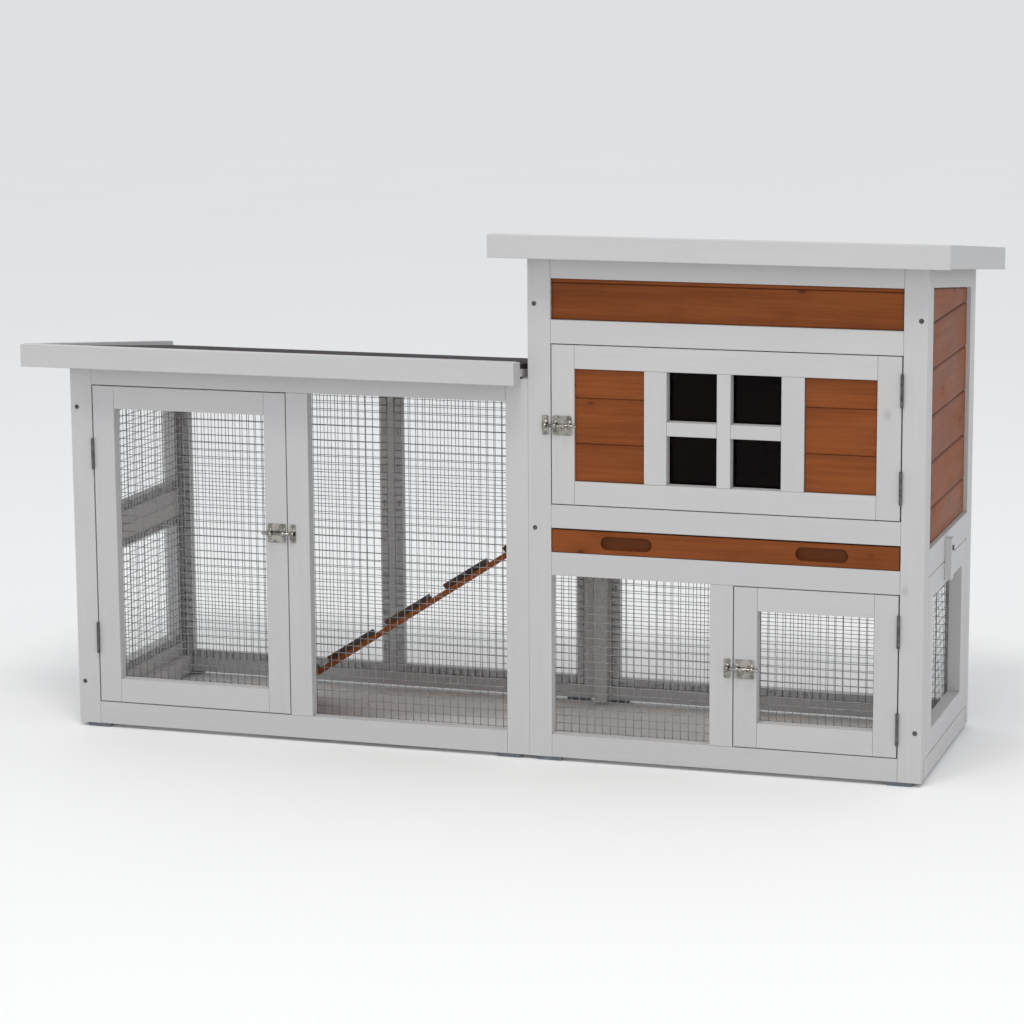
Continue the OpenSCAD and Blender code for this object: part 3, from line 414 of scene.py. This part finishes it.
def stick_mesh():
    """An empty bmesh with the layers that the wood materials read."""
    bm = bmesh.new()
    bm.verts.layers.float_vector.new("grain")
    bm.verts.layers.float.new("tone")
    bm.faces.layers.float.new("edge")
    return bm


RECESS_SHADE = 2.4  # how strongly a recess counts as an edge: painted shade inside the cut, together with the burnt cut wood
END_MARGIN = 5 * MM
SIDE_MARGIN = 3 * MM
FACE_MARGIN = 0.5 * MM


def paint_recess_shade(bm):
    """Marks the faces cut into a board's front, which the stain paints darker: painted shade inside the
    cut, together with the burnt cut wood.
    """
    low, high = span([v.co for v in bm.verts])
    layer = bm.faces.layers.float["edge"]
    for f in bm.faces:
        c = f.calc_center_median()
        inside = all(low[i] + margin < c[i] < high[i] - margin
                     for i, margin in enumerate((END_MARGIN, FACE_MARGIN, SIDE_MARGIN)))
        if inside:
            f[layer] = RECESS_SHADE


def wooden(node, bevel, segments=2, extra=None):
    """Replaces a wooden node by sticks with their own grain and edges rounded by bevel millimetres."""
    bm = stick_mesh()
    for number, (points, faces) in enumerate(solids(node)):
        add_stick(bm, points, faces, bevel * MM, f"{node}{number}", segments)
    if extra:
        extra(bm)
    new_piece(bm, node + "_wood", SLOT_OF[node], frame["nodes"][node]["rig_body"], (node,))


for node in ("run_front_frame", "run_rear_frame", "run_left_frame", "house_front_frame",
             "house_rear_frame", "house_left_frame", "house_right_frame", "run_door_frame",
             "upper_door_frame", "lower_door_frame", "hatch_frame"):
    wooden(node, 0.7)
for node in ("side_base_battens", "run_roof_battens", "house_roof_battens", "floor_bearers", "tray_rim",
             "ramp_support"):
    wooden(node, 0.8)
for node in ("run_roof_fascias", "house_roof_fascias"):
    wooden(node, 0.9)
for node in ("front_board", "upper_door_planks"):
    wooden(node, 1.7, 3)
for node in ("rear_planks", "left_planks", "right_planks"):
    wooden(node, 3.8, 3)
for node in ("upper_floor", "tray_base", "run_roof_board", "house_roof_board"):
    wooden(node, 0.5)
# The tray front's slot gets painted shade on its inner faces.
wooden("tray_front", 0.9, extra=paint_recess_shade)
wooden("ramp_plank", 1.0)
wooden("ramp_cleats", 1.4, 3)
wooden("turn_button", 1.6, 3)


# ---------- roofing felt ----------

FELT_CELLS = (44, 30)  # along X and along Y
FELT_WAVE = 0.55 * MM
FELT_CALM = 0.05  # how far in from the edges the waves reach their full height


def felt_sheet(node):
    """Replaces a felt by the same solid, cut into a grid whose top is raised in soft waves."""
    bm = bmesh.new()
    for points, faces in solids(node):
        verts = [bm.verts.new(p) for p in points]
        for f in faces:
            bm.faces.new([verts[i] for i in f])
    low, high = span([v.co for v in bm.verts])
    for axis, count in enumerate(FELT_CELLS):
        for k in range(1, count):
            at = low.copy()
            at[axis] = low[axis] + (high[axis] - low[axis]) * k / count
            normal = Vector((0, 0, 0))
            normal[axis] = 1
            bmesh.ops.bisect_plane(bm, geom=bm.verts[:] + bm.edges[:] + bm.faces[:], dist=1e-5,
                                   plane_co=at, plane_no=normal)
    bm.normal_update()
    top = {v for f in bm.faces if f.normal.z > 0.9 for v in f.verts}
    for v in sorted(top, key=lambda v: v.index):
        wave = noise.noise(Vector((v.co.x * 9, v.co.y * 7, 3.1))) + 0.6 * noise.noise(v.co * 26)
        edge = min(v.co.x - low.x, high.x - v.co.x, v.co.y - low.y, high.y - v.co.y)
        v.co.z += (FELT_WAVE * (wave + 1.0)) * min(1.0, 0.25 + edge / FELT_CALM)
    new_piece(bm, node + "_sheet", "roofing_felt", frame["nodes"][node]["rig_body"], (node,))


for node in ("run_roof_felt", "house_roof_felt"):
    felt_sheet(node)


# ---------- welded wire mesh ----------

WIRE_R = 0.53 * MM
PITCH = 12.7 * MM
LAYER_OFFSET = 0.96 * MM  # a little under two radii, so that crossing wires are welded together
WOBBLE = 0.12 * MM
WIRE_SPANS = 7  # straight lengths in one wire
WELD_R = 0.95 * MM
STAPLE_R = 0.55 * MM
STAPLE_STEP = 62 * MM
STAPLE_INSET = 7 * MM
STAPLE_HALF = 4.5 * MM
STAPLE_RISE = 1.3 * MM
STAPLE_LEG = 2 * MM
STAPLE_SHIFT = 2 * MM
STAPLE_TURN = 0.25
STAPLE_FIRST = (18 * MM, 40 * MM)  # from a panel's low corner, across and up
STAPLE_LAST = (12 * MM, 20 * MM)  # the least distance from its high corner


def add_tube(bm, path, radius, sides=6):
    """A round tube along a list of points, with closed ends."""
    rings = []
    for i, point in enumerate(path):
        a = path[max(i - 1, 0)]
        b = path[min(i + 1, len(path) - 1)]
        ahead = (b - a).normalized()
        helper = Vector((0, 0, 1)) if abs(ahead.z) < 0.9 else Vector((1, 0, 0))
        u = ahead.cross(helper).normalized()
        w = ahead.cross(u)
        rings.append([bm.verts.new(point + (u * math.cos(t) + w * math.sin(t)) * radius)
                      for t in (2 * math.pi * k / sides for k in range(sides))])
    for lower, upper in zip(rings, rings[1:]):
        for k in range(sides):
            j = (k + 1) % sides
            bm.faces.new((lower[k], lower[j], upper[j], upper[k])).smooth = True
    bm.faces.new(rings[0][::-1])
    bm.faces.new(rings[-1])


def add_weld(bm, at, normal):
    """A small blob of zinc where two wires cross, of eight faces."""
    u = Vector((0, 0, 1))
    v = normal.cross(u)
    ring = [bm.verts.new(at + (u * math.cos(t) + v * math.sin(t)) * WELD_R)
            for t in (math.pi * k / 2 + 0.78 for k in range(4))]
    ends = [bm.verts.new(at + normal * s * WELD_R) for s in (-1, 1)]
    for k in range(4):
        j = (k + 1) % 4
        bm.faces.new((ring[k], ring[j], ends[1])).smooth = True
        bm.faces.new((ring[j], ring[k], ends[0])).smooth = True


def wire_panel(bm, uprights, levels, pick):
    """Round wires in place of the CAD's two flat layers. Each argument is the points of one layer."""
    low, high = span(uprights)
    low2, high2 = span(levels)
    flat = 0 if high.x - low.x < high.y - low.y else 1
    run = 1 - flat
    up_at = (low[flat] + high[flat]) / 2
    level_at = (low2[flat] + high2[flat]) / 2
    normal = Vector((0, 0, 0))
    normal[flat] = 1.0 if level_at > up_at else -1.0
    level_at = up_at + LAYER_OFFSET * normal[flat]
    start, end = low[run], high[run]
    top_start = max(p.z for p in uprights if abs(p[run] - start) < 1e-4)
    top_end = max(p.z for p in uprights if abs(p[run] - end) < 1e-4)
    columns = math.ceil((end - start) / PITCH - 1e-6)
    rows = math.ceil((high.z - low.z) / PITCH - 1e-6)
    r = WIRE_R
    step_x = (end - start - 2 * r) / columns
    step_z = (high.z - low.z - 2 * r) / rows

    def top_at(s):
        return top_start + (top_end - top_start) * (s - start) / (end - start)

    def place(s, z, depth):
        p = Vector((0, 0, z))
        p[run], p[flat] = s, depth
        return p

    def wobble():
        return pick.uniform(-1, 1) * WOBBLE

    for i in range(columns + 1):
        s = start + r + i * step_x
        top = top_at(s)
        path = [place(s + wobble(), low.z + (top - low.z) * k / WIRE_SPANS, up_at)
                for k in range(WIRE_SPANS + 1)]
        add_tube(bm, path, r)
    for j in range(rows + 1):
        z = low.z + r + j * step_z
        stop = end
        if z > min(top_start, top_end) - r:
            share = (top_start - r - z) / max(top_start - top_end, 1e-6)
            stop = start + (end - start) * max(0.0, min(1.0, share))
        if stop - start < PITCH:
            continue
        path = [place(start + (stop - start) * k / WIRE_SPANS, z + wobble(), level_at)
                for k in range(WIRE_SPANS + 1)]
        add_tube(bm, path, r)
        for i in range(columns + 1):
            s = start + r + i * step_x
            if s < stop:
                add_weld(bm, place(s, z, (up_at + level_at) / 2), normal)
    add_staples(bm, place, start, end, low.z, top_at, level_at, normal, pick)


def add_staples(bm, place, start, end, z_low, top_at, depth, normal, pick):
    """Wire staples that hold the mesh's edges to the frame behind it."""
    out = normal * STAPLE_RISE
    back = normal * -STAPLE_LEG
    spots = []
    for k in range(int((end - start - 2 * STAPLE_INSET) / STAPLE_STEP) + 1):
        s = start + STAPLE_FIRST[0] + k * STAPLE_STEP
        if s < end - STAPLE_LAST[0]:
            spots += [(s, z_low + STAPLE_INSET, "level"), (s, top_at(s) - STAPLE_INSET, "level")]
    for k in range(int((top_at(start) - z_low) / STAPLE_STEP)):
        z = z_low + STAPLE_FIRST[1] + k * STAPLE_STEP
        spots += [(start + STAPLE_INSET, z, "upright")]
        if z < top_at(end) - STAPLE_LAST[1]:
            spots += [(end - STAPLE_INSET, z, "upright")]
    for s, z, way in spots:
        s += pick.uniform(-1, 1) * STAPLE_SHIFT
        z += pick.uniform(-1, 1) * STAPLE_SHIFT
        turn = pick.uniform(-STAPLE_TURN, STAPLE_TURN)
        ds, dz = math.cos(turn) * STAPLE_HALF, math.sin(turn) * STAPLE_HALF
        if way == "upright":
            ds, dz = -dz, ds
        a = place(s - ds, z - dz, depth)
        b = place(s + ds, z + dz, depth)
        corner = (b - a) * 0.08
        add_tube(bm, [a + back, a + out * 0.7, a + corner + out, b - corner + out, b + out * 0.7, b + back],
                 STAPLE_R, 5)


def wire_mesh(node):
    """Replaces a mesh node: its layers are paired by place, then each pair becomes a panel of wires."""
    bm = bmesh.new()
    pick = random.Random(node)
    panels = {}
    for points, _ in solids(node):
        low, high = span(points)
        flat = 0 if high.x - low.x < high.y - low.y else 1
        key = (round(low[1 - flat], 3), round(low.z, 3))
        panels.setdefault(key, []).append((low[flat], points))
    inward = {"run_rear_mesh": -1, "house_rear_mesh": -1, "hatch_mesh": -1}.get(node, 1)
    for key in sorted(panels):
        pair = sorted(panels[key], key=lambda item: item[0] * inward)
        wire_panel(bm, pair[0][1], pair[1][1], pick)
    new_piece(bm, node + "_wires", "galvanised_wire", frame["nodes"][node]["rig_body"], (node,))


for node in ("run_door_mesh", "lower_door_mesh", "run_front_mesh", "run_rear_mesh", "run_left_mesh",
             "house_front_mesh", "house_rear_mesh", "hatch_mesh"):
    wire_mesh(node)


# ---------- latches, in millimetres until to_metres ----------

def rounded_plate(bm, x0, x1, z0, z1, thickness):
    """A sheet-metal plate with round corners and softened edges, facing -Y."""
    corner = 2.0
    steps = 4  # in each corner
    outline = []
    for cx, cz, start in ((x1 - corner, z1 - corner, 0), (x0 + corner, z1 - corner, 90),
                          (x0 + corner, z0 + corner, 180), (x1 - corner, z0 + corner, 270)):
        for k in range(steps + 1):
            a = math.radians(start + 90 * k / steps)
            outline.append((cx + corner * math.cos(a), cz + corner * math.sin(a)))
    mid_x, mid_z = (x0 + x1) / 2, (z0 + z1) / 2
    soft = 0.25
    rings = []
    for y, inset in ((0, 0), (soft - thickness, 0), (-thickness, soft)):
        ring = []
        for x, z in outline:
            dx, dz = x - mid_x, z - mid_z
            k = 1 - inset / max(abs(dx), abs(dz), 1)
            ring.append(bm.verts.new((mid_x + dx * k, y, mid_z + dz * k)))
        rings.append(ring)
    for lower, upper in zip(rings, rings[1:]):
        for k in range(len(lower)):
            j = (k + 1) % len(lower)
            bm.faces.new((lower[k], lower[j], upper[j], upper[k]))
    bm.faces.new(rings[0][::-1])
    bm.faces.new(rings[-1])


def strap(bm, x0, x1, bolt_y, plate_y, inner=2.75):
    """A pressed strap that arches over the bolt, with a foot on each side."""
    thick = 1.0
    foot = 6.6
    bend = 0.8
    soft = 0.3
    line = [(plate_y, -foot), (plate_y, -inner - bend), (plate_y - bend, -inner)]
    line += [(bolt_y - inner * math.sin(a), -inner * math.cos(a))
             for a in (math.pi * k / 12 for k in range(13))]
    line += [(plate_y - bend, inner), (plate_y, inner + bend), (plate_y, foot)]
    inside, outside = [], []
    for i, (y, z) in enumerate(line):
        ay, az = line[max(i - 1, 0)]
        by, bz = line[min(i + 1, len(line) - 1)]
        length = math.hypot(by - ay, bz - az)
        ny, nz = -(bz - az) / length, (by - ay) / length
        inside.append((y, z))
        outside.append((y + ny * thick, z + nz * thick))
    strips = []
    for x, k in ((x0, 0.72), (x0 + soft, 1.0), (x1 - soft, 1.0), (x1, 0.72)):
        strips.append([bm.verts.new((x, iy + (oy - iy) * k, iz + (oz - iz) * k))
                       for (iy, iz), (oy, oz) in zip(inside, outside)])
    under = [[bm.verts.new((x, y, z)) for y, z in inside] for x in (x0, x1)]
    rows = [under[0], *strips, under[1]]
    for a, b in zip(rows, rows[1:]):
        for i in range(len(line) - 1):
            bm.faces.new((a[i], a[i + 1], b[i + 1], b[i])).smooth = True
    a, b = under[1], under[0]
    for i in range(len(line) - 1):
        bm.faces.new((a[i], a[i + 1], b[i + 1], b[i])).smooth = True
    for end in (0, len(line) - 1):
        ring = [row[end] for row in rows]
        bm.faces.new(ring if end == 0 else ring[::-1])


def lathe(bm, profile, origin, axis, sides=28):
    """Turns (distance, radius) pairs about an axis through origin."""
    axis = Vector(axis)
    helper = Vector((0, 0, 1)) if abs(axis.z) < 0.9 else Vector((1, 0, 0))
    u = axis.cross(helper).normalized()
    w = axis.cross(u)
    rings = []
    for along, radius in profile:
        at = Vector(origin) + axis * along
        if radius < 1e-6:
            rings.append([bm.verts.new(at)])
        else:
            rings.append([bm.verts.new(at + (u * math.cos(t) + w * math.sin(t)) * radius)
                          for t in (2 * math.pi * k / sides for k in range(sides))])
    for lower, upper in zip(rings, rings[1:]):
        for k in range(sides):
            j = (k + 1) % sides
            if len(lower) == 1:
                bm.faces.new((lower[0], upper[j], upper[k])).smooth = True
            elif len(upper) == 1:
                bm.faces.new((lower[k], lower[j], upper[0])).smooth = True
            else:
                bm.faces.new((lower[k], lower[j], upper[j], upper[k])).smooth = True
    for ring, flip in ((rings[0], True), (rings[-1], False)):
        if len(ring) > 1:
            bm.faces.new(ring[::-1] if flip else ring)


def pan_head(bm, x, z, y_face):
    """A pan-head screw with a round recess, facing -Y."""
    radius = 2.3
    lathe(bm, [(0, radius), (0.5, radius), (1.0, radius * 0.82), (1.25, radius * 0.5), (1.3, radius * 0.34),
               (0.75, radius * 0.20), (0.7, 0)], (x, y_face, z), (0, -1, 0), 20)


def to_metres(bm, at, mirror):
    """Moves a latch from its own millimetres to the part's frame."""
    for v in bm.verts:
        v.co = Vector((at.x + (-v.co.x if mirror else v.co.x) * MM, at.y + v.co.y * MM, at.z + v.co.z * MM))
    if mirror:
        bmesh.ops.reverse_faces(bm, faces=bm.faces)
    bmesh.ops.recalc_face_normals(bm, faces=bm.faces)


FACE_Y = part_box("run_front_frame")[0].y
BOLT_Y = -5.5
PLATE_T = 1.2
PLATE_TOP = -PLATE_T + 0.1  # where straps and screws meet a plate
PLATE_LEN = 30.0
PLATE_HALF = 15.0
KEEPER_AT = 37.0
KEEPER_LEN = 10.0
SCREW_Z = 11.0
ROD = [(-8.5, 0), (-8.5, 1.9), (-7.9, 2.45), (37.0, 2.45), (38.2, 1.8), (38.5, 1.2), (38.5, 0)]
KNOB = [(0, 1.7), (6.5, 1.7), (7.2, 2.2), (8.2, 2.9), (9.6, 3.2), (11.2, 3.0), (12.6, 2.2),
        (13.3, 1.0), (13.4, 0)]
KNOB_X = 9.5
keepers = bmesh.new()
for door, mirror in (("run_door", False), ("upper_door", True), ("lower_door", True)):
    low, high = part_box(door + "_latch")
    at = Vector((high.x if mirror else low.x, FACE_Y, (low.z + high.z) / 2))
    bm = bmesh.new()
    rounded_plate(bm, 0.0, PLATE_LEN, -PLATE_HALF, PLATE_HALF, PLATE_T)
    strap(bm, 1.0, 6.0, BOLT_Y, PLATE_TOP)
    strap(bm, 24.0, 29.0, BOLT_Y, PLATE_TOP)
    for x in (4.0, 26.0):
        for z in (-SCREW_Z, SCREW_Z):
            pan_head(bm, x, z, PLATE_TOP)
    to_metres(bm, at, mirror)
    new_piece(bm, door + "_latch_plate", "chrome_plate", door, (door + "_latch",))
    bm = bmesh.new()
    lathe(bm, ROD, (0, BOLT_Y, 0), (1, 0, 0))
    lathe(bm, KNOB, (KNOB_X, BOLT_Y, 0), (0, -1, 0))
    to_metres(bm, at, mirror)
    bolt = door + "_bolt"
    new_piece(bm, bolt + "_rod", "chrome_plate", frame["nodes"][bolt]["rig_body"], (bolt,))
    bm = bmesh.new()
    rounded_plate(bm, KEEPER_AT, KEEPER_AT + KEEPER_LEN, -PLATE_HALF, PLATE_HALF, PLATE_T)
    strap(bm, KEEPER_AT + 2, KEEPER_AT + 8, BOLT_Y, PLATE_TOP, 3.0)
    for z in (-SCREW_Z, SCREW_Z):
        pan_head(bm, KEEPER_AT + KEEPER_LEN / 2, z, PLATE_TOP)
    to_metres(bm, at, mirror)
    mesh = bpy.data.meshes.new("keeper")
    bm.to_mesh(mesh)
    bm.free()
    keepers.from_mesh(mesh)
    bpy.data.meshes.remove(mesh)
new_piece(keepers, "latch_keeper_plates", "chrome_plate", "hutch", ("latch_keepers",))


# ---------- CAD nodes that stay ----------

for name, node in frame["nodes"].items():
    if node.hide_render:
        continue
    node.data.materials.clear()
    node.data.materials.append(MATERIALS[SLOT_OF[name]])


# ---------- floor, light and camera ----------

FLOOR_HALF = 60.0
floor_mesh = bmesh.new()
floor_mesh.faces.new([floor_mesh.verts.new((x * FLOOR_HALF, y * FLOOR_HALF, 0))
                      for x, y in ((-1, -1), (1, -1), (1, 1), (-1, 1))])
floor_data = bpy.data.meshes.new("floor")
floor_mesh.to_mesh(floor_data)
floor_mesh.free()
floor = bpy.data.objects.new("floor", floor_data)
pale = Nodes("pale_floor")
tint = pale.noise(pale.add("ShaderNodeTexCoord").outputs["Object"], 1.2, 2.0)
floor_data.materials.append(pale.finish(pale.mix(tint, (0.87, 0.87, 0.87), (0.89, 0.89, 0.89)), 0.9))
scene.collection.objects.link(floor)

world = bpy.data.worlds.new("studio")
world.use_nodes = True
sky = world.node_tree.nodes["Background"]
sky.inputs["Color"].default_value = (0.96, 0.98, 1.0, 1)
sky.inputs["Strength"].default_value = 0.86
scene.world = world


def softbox(name, at, aim, size, power, colour):
    """A rectangular area light at one point, turned to another. Power in watts."""
    light = bpy.data.lights.new(name, "AREA")
    light.shape = "RECTANGLE"
    light.size, light.size_y = size
    light.energy = power
    light.color = colour
    lamp = bpy.data.objects.new(name, light)
    lamp.location = at
    lamp.rotation_mode = "QUATERNION"
    lamp.rotation_quaternion = (Vector(aim) - Vector(at)).to_track_quat("-Z", "Y")
    scene.collection.objects.link(lamp)


softbox("key", (0.25, -1.9, 4.2), (0.2, 0, 0.5), (1.4, 1.0), 55, (1.0, 0.97, 0.93))
softbox("fill", (2.6, -3.4, 1.6), (0.3, 0, 0.4), (1.5, 1.5), 9, (1.0, 0.96, 0.92))

# The camera's lens, place and angles were fitted to the frames' corners in the photo.
LENS = 116.09
SENSOR = 36.0
CAMERA_AT = (1.57865, -4.9830, 1.3151)
YAW = math.radians(17.728)
DOWN = math.radians(10.546)
ROLL = math.radians(-0.369)
ahead = Vector((-math.sin(YAW) * math.cos(DOWN), math.cos(YAW) * math.cos(DOWN), -math.sin(DOWN)))
right = Vector((math.cos(YAW), math.sin(YAW), 0))
up = right.cross(ahead)
level_right = right * math.cos(ROLL) + up * math.sin(ROLL)
level_up = up * math.cos(ROLL) - right * math.sin(ROLL)
camera = bpy.data.objects.new("camera", bpy.data.cameras.new("camera"))
camera.data.lens = LENS
camera.data.sensor_width = SENSOR
camera.data.clip_end = 300.0  # past the floor's edge
turn = Matrix((level_right, level_up, -ahead)).transposed()
camera.matrix_world = Matrix.Translation(CAMERA_AT) @ turn.to_4x4()
scene.collection.objects.link(camera)
scene.camera = camera
